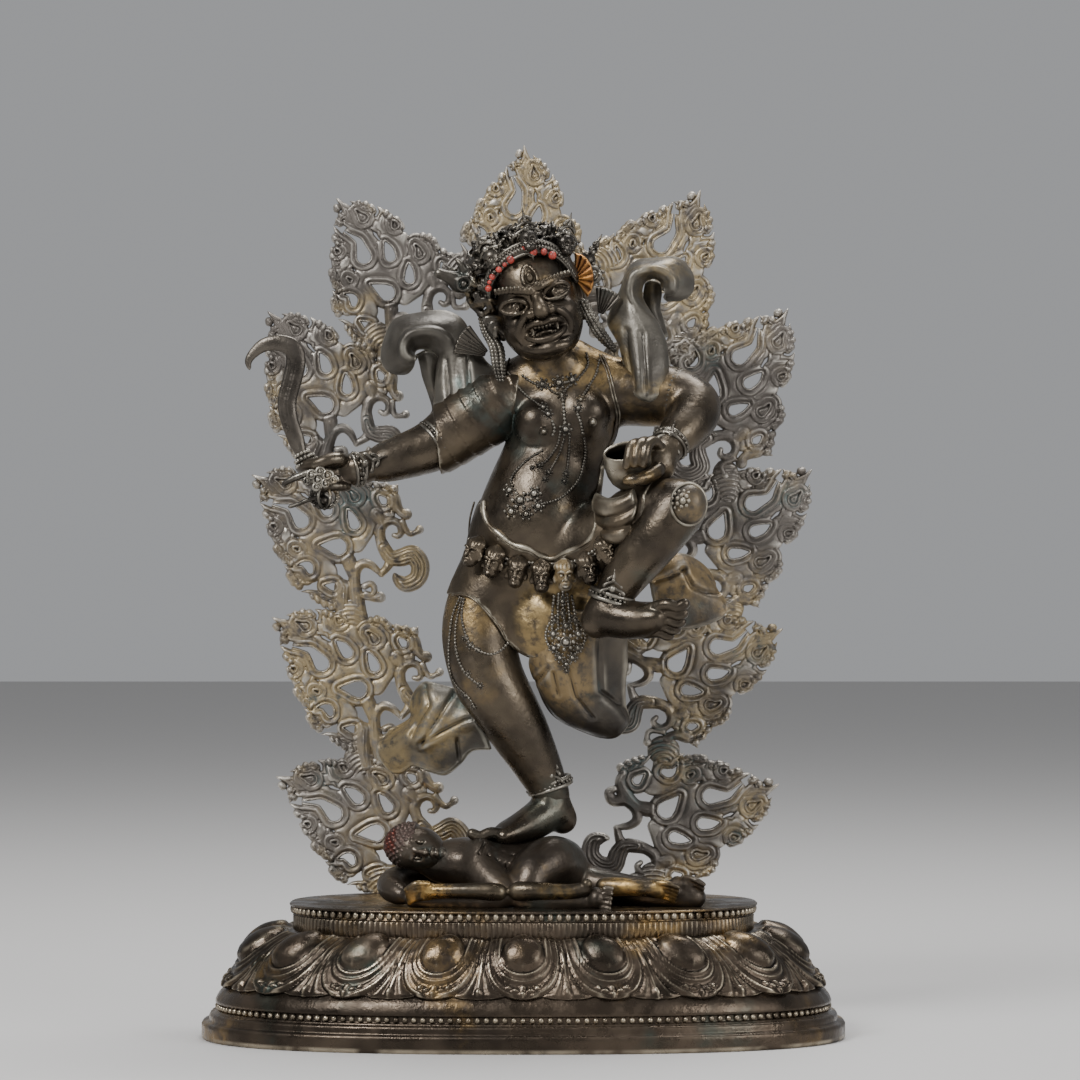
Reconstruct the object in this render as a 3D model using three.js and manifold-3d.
// A cast bronze group: a dancing dakini on a prone man, on a lotus plinth, in front of an arch of openwork flames.
// Millimetres, +Z up. The origin is the middle of the plinth's underside, and the front faces -Y.

import * as THREE from "three";
import { mergeVertices } from "three/addons/utils/BufferGeometryUtils.js";
import Module from "manifold-3d";

const wasm = await Module();
wasm.setup();

// Driving dimensions, in millimetres.
const PLINTH_HALF_WIDTH = 160.5; // at the foot of the plinth
const PLINTH_HALF_DEPTH = 92;
const PLINTH_HEIGHT = 67;
const PLAN_POWER = 2.5; // the plan is a superellipse: 2 is an oval, more is squarer
const PETALS = 20;
const FLAME_PLANE = 55; // how far the arch of flames stands behind the middle
const FLAME_THICK = 5;
const FIT = 0.35; // the clearance between two castings that touch

const TAU = 2 * Math.PI;
const BRONZE = { color: 0x3a332b, roughness: 0.42, metalness: 0.85 };
const WORN_BRONZE = { color: 0x564a3c, roughness: 0.5, metalness: 0.8 };
const FLAME_BRONZE = { color: 0x77706a, roughness: 0.55, metalness: 0.75 };

// Solids

// The triangles of a closed geometry as a solid with its faces pointing out.
function solid(geometry) {
  const loose = geometry.index ? geometry.toNonIndexed() : geometry;
  const bare = new THREE.BufferGeometry();
  bare.setAttribute("position", loose.getAttribute("position"));
  const merged = mergeVertices(bare, 1e-3);
  const at = merged.attributes.position;
  const corner = (i) => new THREE.Vector3().fromBufferAttribute(at, i);
  const faces = [];
  let volume = 0;
  for (let i = 0; i < merged.index.count; i += 3) {
    const [a, b, c] = [0, 1, 2].map((k) => merged.index.getX(i + k));
    if (a === b || b === c || a === c) continue;
    faces.push([a, b, c]);
    volume += corner(a).dot(corner(b).cross(corner(c)));
  }
  const outward = volume > 0 ? faces : faces.map(([a, b, c]) => [a, c, b]);
  return new wasm.Manifold(
    new wasm.Mesh({
      numProp: 3,
      vertProperties: at.array,
      triVerts: new Uint32Array(outward.flat()),
    }),
  );
}

const join = (pieces) => pieces.reduce((whole, piece) => whole.add(piece));

// A finished solid as a named mesh.
function casting(name, made, finish) {
  const { numProp, vertProperties, triVerts } = made.getMesh();
  const at = new Float32Array((vertProperties.length / numProp) * 3);
  for (let i = 0; i < at.length / 3; i++)
    at.set(vertProperties.subarray(i * numProp, i * numProp + 3), i * 3);
  const geometry = new THREE.BufferGeometry();
  geometry.setAttribute("position", new THREE.BufferAttribute(at, 3));
  geometry.setIndex(new THREE.BufferAttribute(triVerts, 1));
  geometry.computeVertexNormals();
  const mesh = new THREE.Mesh(geometry, new THREE.MeshStandardMaterial(finish));
  mesh.name = name;
  return mesh;
}

// A closed skin over rings of points, with a point at each end.
function skin(rings, first, last) {
  const count = rings[0].length;
  const points = [...rings.flat(), first, last];
  const faces = [];
  const tail = points.length - 1;
  for (let j = 0; j < count; j++) {
    const k = (j + 1) % count;
    faces.push(tail - 1, k, j);
    for (let i = 0; i + 1 < rings.length; i++) {
      const [p, q] = [i * count, (i + 1) * count];
      faces.push(p + j, p + k, q + k, p + j, q + k, q + j);
    }
    const end = (rings.length - 1) * count;
    faces.push(tail, end + j, end + k);
  }
  const geometry = new THREE.BufferGeometry().setFromPoints(points);
  geometry.setIndex(faces);
  return solid(geometry);
}

// An oval carried along a smooth path, with round ends. A station is [x, y, z, half width, half depth].
// The half depth runs as near to Y as the path allows.
function limb(stations, sides = 8, steps = 2) {
  const path = new THREE.CatmullRomCurve3(stations.map(([x, y, z]) => new THREE.Vector3(x, y, z)));
  const girth = new THREE.CatmullRomCurve3(
    stations.map(([, , , wide, deep]) => new THREE.Vector3(wide, deep ?? wide, 0)),
  );
  const count = (stations.length - 1) * steps;
  const ringAt = (t, shift, scale) => {
    const along = path.getTangent(t);
    const towards = Math.abs(along.y) < 0.95 ? new THREE.Vector3(0, 1, 0) : new THREE.Vector3(0, 0, 1);
    const deep = towards.addScaledVector(along, -towards.dot(along)).normalize();
    const wide = along.clone().cross(deep);
    const size = girth.getPoint(t);
    const middle = path.getPoint(t).addScaledVector(along, shift * Math.min(size.x, size.y));
    return Array.from({ length: sides }, (_, j) => {
      const turn = (j * TAU) / sides;
      return middle
        .clone()
        .addScaledVector(wide, size.x * scale * Math.cos(turn))
        .addScaledVector(deep, size.y * scale * Math.sin(turn));
    });
  };
  const rings = [ringAt(0, -0.6, 0.7)];
  for (let i = 0; i <= count; i++) rings.push(ringAt(i / count, 0, 1));
  rings.push(ringAt(1, 0.6, 0.7));
  const tip = (t, way) => {
    const size = girth.getPoint(t);
    return path.getPoint(t).addScaledVector(path.getTangent(t), way * 0.9 * Math.min(size.x, size.y));
  };
  return skin(rings, tip(0, -1), tip(1, 1));
}

// A sheet of cast cloth through a net of points, given as rows of [x, y, z].
function cloth(net, thick, across = 6, along = 6) {
  const rows = net.map((row) => new THREE.CatmullRomCurve3(row.map((p) => new THREE.Vector3(...p))));
  const at = (u, v) => new THREE.CatmullRomCurve3(rows.map((row) => row.getPoint(u))).getPoint(v);
  const NEAR = 1e-3;
  const faceAt = (u, v) => {
    const [u0, u1] = [Math.max(0, u - NEAR), Math.min(1, u + NEAR)];
    const [v0, v1] = [Math.max(0, v - NEAR), Math.min(1, v + NEAR)];
    return at(u1, v).sub(at(u0, v)).cross(at(u, v1).sub(at(u, v0))).normalize();
  };
  const rings = [];
  for (let i = 0; i <= along; i++) {
    const front = [];
    const back = [];
    for (let j = 0; j <= across; j++) {
      const [u, v] = [j / across, i / along];
      front.push(at(u, v).addScaledVector(faceAt(u, v), thick / 2));
      back.unshift(at(u, v).addScaledVector(faceAt(u, v), -thick / 2));
    }
    rings.push([...front, ...back]);
  }
  const count = rings[0].length;
  const faces = [];
  for (let i = 0; i < along; i++)
    for (let j = 0; j < count; j++) {
      const [p, q, k] = [i * count, (i + 1) * count, (j + 1) % count];
      faces.push(p + j, p + k, q + k, p + j, q + k, q + j);
    }
  for (const [start, turn] of [[0, false], [along * count, true]])
    for (let j = 0; j < across; j++) {
      const [a, b] = [start + j, start + j + 1];
      const [c, d] = [start + count - 1 - j, start + count - 2 - j];
      faces.push(...(turn ? [a, b, d, a, d, c] : [a, d, b, a, c, d]));
    }
  const geometry = new THREE.BufferGeometry().setFromPoints(rings.flat());
  geometry.setIndex(faces);
  return solid(geometry);
}

// An ellipsoid: centre and three half axes, turned by a matrix if one is given.
function lump([x, y, z], [rx, ry, rz], place = new THREE.Matrix4(), sides = 8) {
  const ball = new THREE.SphereGeometry(1, sides, Math.ceil(sides * 0.75));
  ball.scale(rx, ry, rz).translate(x, y, z).applyMatrix4(place);
  return solid(ball);
}

// Lotus plinth: a hollow casting closed below by a plate, with mouldings and a belt of downturned petals

const PLAN_POINTS = 32;
// Each level of the profile: how far in from the foot's edge, and the height.
const PLINTH_LEVELS = [
  [0, 0],
  [0, 8.2],
  [3.8, 9.4],
  [3.8, 12.2],
  [7, 13],
  [7, 19],
  [12.5, 26],
  [44.5, 54],
  [44.5, 62],
  [43.5, 63],
  [43.5, PLINTH_HEIGHT],
];
// Each level of the belt of petals: the inset of the slope there, the height, how far a petal stands out,
// and how much of its room it fills from side to side.
const PETAL_LEVELS = [
  [18, 25.5, -3, 0.3],
  [13.5, 28, 4, 0.5],
  [15, 34, 6, 0.85],
  [21, 42, 9, 1],
  [31, 49, 8.5, 1],
  [46, 54.5, -3, 1],
];
const PETAL_STEPS = 4; // points across one petal

// A point of the plinth's plan, inset from the foot's edge.
function planPoint(turn, inset, z) {
  const [c, s] = [Math.cos(turn), Math.sin(turn)];
  const bend = (v) => Math.sign(v) * Math.abs(v) ** (2 / PLAN_POWER);
  const depth = PLINTH_HALF_DEPTH - inset * 0.52;
  return new THREE.Vector3((PLINTH_HALF_WIDTH - inset) * bend(c), depth * bend(s), z);
}

// Turns that divide the plan into equal lengths, the first at the middle of the front.
function evenTurns(count) {
  const FINE = 2000;
  const lengths = [0];
  const at = (i) => planPoint(-TAU / 4 + (i * TAU) / FINE, 25, 0);
  for (let i = 1; i <= FINE; i++) lengths.push(lengths[i - 1] + at(i).distanceTo(at(i - 1)));
  return Array.from({ length: count }, (_, k) => {
    const i = lengths.findIndex((length) => length >= (k * lengths[FINE]) / count);
    return -TAU / 4 + (i * TAU) / FINE;
  });
}

function lotusPlinth() {
  const turns = Array.from({ length: PLAN_POINTS }, (_, j) => (j * TAU) / PLAN_POINTS);
  const rings = PLINTH_LEVELS.map(([inset, z]) => turns.map((turn) => planPoint(turn, inset, z)));
  const core = skin(rings, new THREE.Vector3(0, 0, 0), new THREE.Vector3(0, 0, PLINTH_HEIGHT));
  const petalTurns = evenTurns(PETALS * PETAL_STEPS);
  const belt = PETAL_LEVELS.map(([inset, z, out, fill]) =>
    petalTurns.map((turn, j) => {
      const across = Math.abs(((j + PETAL_STEPS / 2) % PETAL_STEPS) / PETAL_STEPS - 0.5) * 2;
      const stands = out * Math.max(-1, 1 - (across / fill) ** 2 * 1.6);
      return planPoint(turn, inset - stands, z);
    }),
  );
  const low = new THREE.Vector3(0, 0, PETAL_LEVELS[0][1]);
  const high = new THREE.Vector3(0, 0, PETAL_LEVELS.at(-1)[1]);
  return core.add(skin(belt, low, high));
}

// Arch of flames: eleven castings of one openwork leaf of fire, turned round the arch and brazed edge to edge

// The leaf's edge as [across, height], clockwise from its tip, which is the origin: first the upper edge,
// then the scrolls of its inner side, then the foot, then the flame tips of its lower edge.
const LEAF_EDGE = [
  [0, 0],
  [9, -1],
  [21, 6],
  [33, 3],
  [37, -5],
  [40, 6],
  [51, -1],
  [60, 3],
  [74, -4],
  [77, -16],
  [85, -18],
  [88, -28],
  [81, -33],
  [89, -38],
  [91, -49],
  [82, -59],
  [72, -57],
  [66, -64],
  [57, -65],
  [53, -74],
  [43, -73],
  [41, -66],
  [25, -60],
  [27, -54],
  [16, -47],
  [19, -41],
  [10, -33],
  [13, -26],
  [4, -13.5],
  [14, -14],
  [6, -8],
];
// Its openings, as [across, height of the round end, radius, bearing of the tail, tail].
const LEAF_HOLES = [
  [26, -22.5, 5, 152, 11],
  [38.5, -17.5, 4, 140, 8],
  [52.4, -25.5, 3.4, 100, 8],
  [44, -37, 5, 168, 11],
  [29.5, -47, 3.6, 158, 8],
  [62.5, -41, 5, 80, 8],
  [79, -48, 4, 110, 6],
];

// Every leaf: its tip [x, z], its turn in degrees and its size.
const LEAVES = [
  [-126.9, 126.5, 10.5, 1.02],
  [-128.9, 208, 0, 1],
  [-139.2, 280.9, 0, 1],
  [-131, 364.5, -18.7, 0.975],
  [-96, 422.5, -22, 0.955],
  [0, 449.4, -56, 0.92],
  [90.3, 426.6, -83, 1],
  [135.1, 365.9, -92.5, 1.01],
  [147.4, 283.7, -107.4, 1.01],
  [132.4, 202.2, -122, 1],
  [130.6, 122.7, -127.5, 1.03],
];
// The brazed patches between leaves, and the feet on the plinth, as [x, z, half width, half height].
const PATCHES = [
  [-35, 386, 9, 8],
  [41.5, 391, 9, 8],
  [81.5, 345, 9, 9],
  [103, 283, 8, 10],
  [104, 213, 8, 8],
  [72, 141, 8, 10],
  [-82, 137, 7, 8],
  [-89, 206, 8, 7],
  [-70, 72, 10, 9],
  [64, 72, 8, 12],
];

function leafShape() {
  const shape = new THREE.Shape(LEAF_EDGE.map(([x, y]) => new THREE.Vector2(x, y)));
  for (const [x, y, r, bearing, tail] of LEAF_HOLES) {
    const way = (bearing * TAU) / 360;
    const round = [-0.22, 0, 0.22].map((part) => {
      const turn = way + TAU / 2 + part * TAU;
      return new THREE.Vector2(x + r * Math.cos(turn), y + r * Math.sin(turn));
    });
    round.push(new THREE.Vector2(x + tail * Math.cos(way), y + tail * Math.sin(way)));
    shape.holes.push(new THREE.Path(round));
  }
  return shape;
}

function flameArch() {
  const shape = leafShape();
  const leaves = LEAVES.map(([x, z, turn, size]) => {
    const leaf = new THREE.ExtrudeGeometry(shape, { depth: FLAME_THICK, bevelEnabled: false });
    leaf.scale(size, size, 1).rotateZ((turn * TAU) / 360).rotateX(TAU / 4);
    leaf.translate(x, FLAME_PLANE + FLAME_THICK / 2, z);
    return solid(leaf);
  });
  const patches = PATCHES.map(([x, z, wide, high]) => {
    const plate = new THREE.CylinderGeometry(1, 1, FLAME_THICK - 1, 6);
    return solid(plate.scale(wide, 1, high).translate(x, FLAME_PLANE, z));
  });
  return join([...leaves, ...patches]).trimByPlane([0, 0, 1], PLINTH_HEIGHT + FIT);
}

// The prone man who is danced on: head to the left, face to the front, arms and legs spread along the plinth

const PRONE = [
  // torso, from the neck to the seat
  [[-42, -14, 85, 8], [-31, -13, 84, 10, 15], [-16, -12, 83, 12.5, 20], [5, -10, 83, 12, 18], [25, -10, 82, 12, 19]],
  // head
  [[-62, -16, 90, 10, 11], [-53, -17, 90, 13.5, 14], [-44, -16, 88, 9, 10]],
  // near arm, folded so that the hand lies below the face
  [[-24, -28, 82, 8], [-10, -42, 74, 6], [-4, -48, 72.5, 5], [-24, -47, 72.5, 4.6], [-45, -43, 71.5, 3.6], [-58, -40, 71, 3]],
  // near leg, folded forward to the foot
  [[24, -22, 79, 10], [6, -40, 76, 8], [2, -46, 73.5, 6], [20, -48, 73, 5.4], [35, -47, 72.5, 5], [40, -49, 74, 6]],
  // far leg, straight out to the right
  [[28, -8, 80, 11], [45, -22, 76, 8.5], [62, -32, 73.5, 5.4], [78, -36, 72.5, 4.4], [84, -42, 72, 3.6]],
  // far arm
  [[-26, 4, 82, 8], [-48, 10, 75, 5.5], [-66, -4, 72.5, 4.5], [-72, -18, 71, 3.5]],
];

function proneMan() {
  return join(PRONE.map((stations, i) => limb(stations, i < 2 ? 8 : 5, 1)));
}

// The dakini: she dances on her right leg with the left drawn up, cloth and ribbons flying

const BODY = [
  [3, -1, 222, 27, 20],
  [4.5, -2, 236, 33, 25],
  [8.5, -5, 262, 30, 25],
  [14, -3, 282, 25.5, 20],
  [18.5, -3, 297, 25, 19],
  [20, -4, 308, 26, 20],
  [20, -2, 323, 30, 16],
  [14, -4, 337, 15, 12],
  [10, -5, 347, 9.5, 9.5],
];
const STANDING_LEG = [
  [-8, -2, 236, 24, 24],
  [-20, -5, 214, 19],
  [-23, -9, 196, 17.5],
  [-17, -12, 175, 18],
  [-4, -9, 154, 14],
  [6.5, -5, 136, 10],
  [14, -2, 119, 8],
];
const STANDING_FOOT = [
  [24, 1, 111.5, 7],
  [14, -2, 110, 8.5],
  [2, -6, 105, 8, 8.5],
  [-10, -11, 101.5, 5, 10],
  [-21, -15, 101, 3.5, 9],
];
const RAISED_LEG = [
  [20, -6, 239, 22],
  [46, -27, 249, 17],
  [70, -45, 262, 15],
  [78, -52, 263, 13],
  [70, -53, 255, 12],
  [60, -51, 243, 11],
  [50, -48, 230, 9],
  [45, -46, 222, 8],
];
const RAISED_FOOT = [
  [34, -43, 207, 8, 8],
  [46, -46, 207, 9, 9],
  [62, -50, 208, 10, 7],
  [76, -53, 211, 8.5, 5],
];
const KNIFE_ARM = [
  [-8, -1, 320, 17],
  [-24, -3, 309, 17],
  [-40, -7, 298, 14],
  [-46, -9, 294, 9.5],
  [-62, -14, 288.5, 8.3],
  [-77, -18, 284, 6.3],
];
const KNIFE_HAND = [
  [-80, -18, 283, 6.5, 8],
  [-92, -20, 279, 10, 10],
  [-103, -21, 275, 10, 9],
];
const CUP_ARM = [
  [44, -1, 322, 16],
  [62, -3, 319, 14],
  [76, -6, 318, 11.5],
  [84, -12, 312, 9.5],
  [80, -22, 304, 8.8],
  [72, -33, 296, 7],
];
const CUP_HAND = [
  [70, -34, 294, 6.5, 6.5],
  [62, -39, 289, 8, 5],
  [56, -50, 286, 6, 4],
];
// The bunched ends of her headband, beside each ear.
const TASSELS = [
  [[-30, 2, 362, 6], [-22, 1, 346, 7], [-12, -2, 330, 5]],
  [[34, 2, 372, 6], [41, 3, 356, 6], [46, 2, 342, 6]],
];
const HEAD = { at: [8.5, -9, 366], half: [23.5, 24, 28] };
const HEAD_TILT = 14; // degrees towards her right shoulder
const CROWN_SPIKES = 7;
const BREASTS = [
  [7.5, -19, 306.5],
  [31.5, -19, 311],
];

// Ribbons: stations of a flat band, the half width in Y the wider.
const RIBBONS = [
  [[-18, 3, 322, 9, 8], [-33, 4, 339, 6, 9], [-48, 4, 355, 6, 10], [-63, 2, 354, 6, 10], [-69, 0, 341, 5, 10],
    [-63, -1, 331.5, 4, 9], [-57, 0, 335, 3.5, 8]],
  [[-46, 4, 350, 7, 8], [-44, 2, 330, 7, 6], [-36, -2, 312, 9, 8]],
  [[44, 4, 330, 9, 8], [51, 5, 358, 6, 9], [62, 4, 377, 6, 10], [76, 2, 381, 5.5, 10], [83, 0, 374, 4, 9],
    [79, -1, 367, 3.5, 8], [72, 0, 370, 3, 7]],
  [[60, 4, 372, 8, 7], [65, 2, 350, 10, 8], [70, -1, 330, 9, 9], [72, -2, 312, 6, 8]],
];

// Cloth: nets of points, rows from the hip downwards.
const SKIRT = [
  [[-33, -14, 236], [-8, -30, 226], [24, -34, 226], [52, -14, 236], [58, 6, 240]],
  [[-36, -6, 216], [-10, -24, 208], [20, -24, 206], [48, -10, 212], [62, 10, 214]],
  [[-20, -2, 200], [-4, -16, 190], [22, -14, 184], [46, -4, 186], [62, 12, 190]],
  [[-4, 2, 180], [8, -6, 170], [26, -4, 163], [44, 2, 166], [58, 14, 174]],
  [[8, 6, 166], [16, 0, 158], [30, -2, 150], [44, 6, 150], [54, 14, 158]],
];
const RIGHT_DRAPE = [
  [[40, -8, 258], [52, 0, 244], [52, 6, 222], [50, 12, 204]],
  [[66, 4, 262], [78, 4, 244], [76, 12, 222], [70, 16, 206]],
  [[76, 6, 256], [96, 4, 236], [92, 8, 218], [84, 12, 202]],
  [[84, 8, 246], [104, 6, 222], [101, 10, 210], [92, 14, 200]],
];
const LEFT_DRAPE = [
  [[-26, 2, 182], [-20, 0, 170], [-12, 0, 156], [-6, 0, 144]],
  [[-50, 20, 170], [-42, 12, 156], [-34, 16, 143], [-28, 12, 134]],
  [[-64, 26, 157], [-58, 18, 147], [-52, 22, 137], [-46, 18, 128]],
  [[-77, 28, 149], [-76, 22, 142], [-74, 26, 135], [-70, 24, 130]],
];

function spikes() {
  const tilt = new THREE.Matrix4().makeRotationY((-HEAD_TILT * TAU) / 360);
  const place = new THREE.Matrix4().makeTranslation(...HEAD.at).multiply(tilt);
  return Array.from({ length: CROWN_SPIKES }, (_, i) => {
    const turn = ((i / (CROWN_SPIKES - 1) - 0.5) * TAU * 200) / 360;
    const lean = new THREE.Matrix4()
      .makeRotationZ(turn)
      .multiply(new THREE.Matrix4().makeTranslation(0, -22, 22))
      .multiply(new THREE.Matrix4().makeRotationX(0.35));
    const tall = 20 + 8 * Math.cos(turn);
    const spike = new THREE.ConeGeometry(7, tall, 5).rotateX(TAU / 4);
    spike.scale(1, 0.6, 1).translate(0, 0, tall / 2 - 4);
    return solid(spike.applyMatrix4(place.clone().multiply(lean)));
  });
}

function head() {
  const tilt = new THREE.Matrix4().makeRotationY((-HEAD_TILT * TAU) / 360);
  const place = new THREE.Matrix4().makeTranslation(...HEAD.at).multiply(tilt);
  const skull = lump([0, 0, 0], HEAD.half, place, 10);
  const jaw = lump([0, -9, -13], [15, 14, 13], place, 8);
  const brow = lump([0, -20, 7], [17, 6, 5], place, 6);
  const nose = lump([0, -24, -3], [6, 5, 6], place, 6);
  const hair = lump([0, 5, 13], [29, 25, 20], place, 8);
  return join([skull, jaw, brow, nose, hair, ...spikes()]);
}

function dakini() {
  const tubes = [
    limb(BODY, 10, 1),
    ...[STANDING_LEG, STANDING_FOOT, RAISED_LEG, RAISED_FOOT].map((path) => limb(path, 8, 1)),
    ...[KNIFE_ARM, KNIFE_HAND, CUP_ARM, CUP_HAND].map((path) => limb(path, 6, 1)),
    ...[...RIBBONS, ...TASSELS].map((path) => limb(path, 5, 1)),
  ];
  const breasts = BREASTS.map((at) => lump(at, [10, 9, 9.5]));
  const sheets = [cloth(SKIRT, 4, 5, 5), cloth(RIGHT_DRAPE, 4, 4, 4), cloth(LEFT_DRAPE, 4, 4, 4)];
  const cup = lump([53.5, -45, 285], [10, 10, 11.5]);
  return join([...tubes, ...breasts, ...sheets, cup, head()]);
}

// Hooked knife: a curved blade that rises from the handle in her right fist

const KNIFE = [
  [-101, -22, 270, 2.6, 2.6],
  [-104, -21.5, 279, 2.6, 2.6],
  [-109, -20.5, 290, 2.8, 2.4],
  [-115, -20, 297, 3.2, 2.4],
  [-118.5, -20, 313, 4, 2.2],
  [-116.5, -20, 326, 5, 2.2],
  [-114, -20, 340, 4.2, 2.2],
  [-118, -20, 348, 4, 2.2],
  [-127, -20, 347, 3.6, 2],
  [-134.5, -20, 342, 2.4, 1.6],
  [-137.5, -20, 334, 0.9, 0.8],
];

// The knife, or with room to spare the hole it leaves in her fist.
const knifeOf = (spare) => limb(KNIFE.map(([x, y, z, w, d]) => [x, y, z, w + spare, d + spare]), 6, 1);

const woman = dakini().subtract(knifeOf(FIT));
const knife = knifeOf(0);
const man = proneMan();
const plinth = lotusPlinth();
const arch = flameArch();

const group = new THREE.Group();
group.add(casting("lotus_plinth", plinth, BRONZE));
group.add(casting("prone_man", man, WORN_BRONZE));
group.add(casting("dancing_dakini", woman, BRONZE));
group.add(casting("flame_arch", arch, FLAME_BRONZE));
group.add(casting("hooked_knife", knife, BRONZE));

export default group;
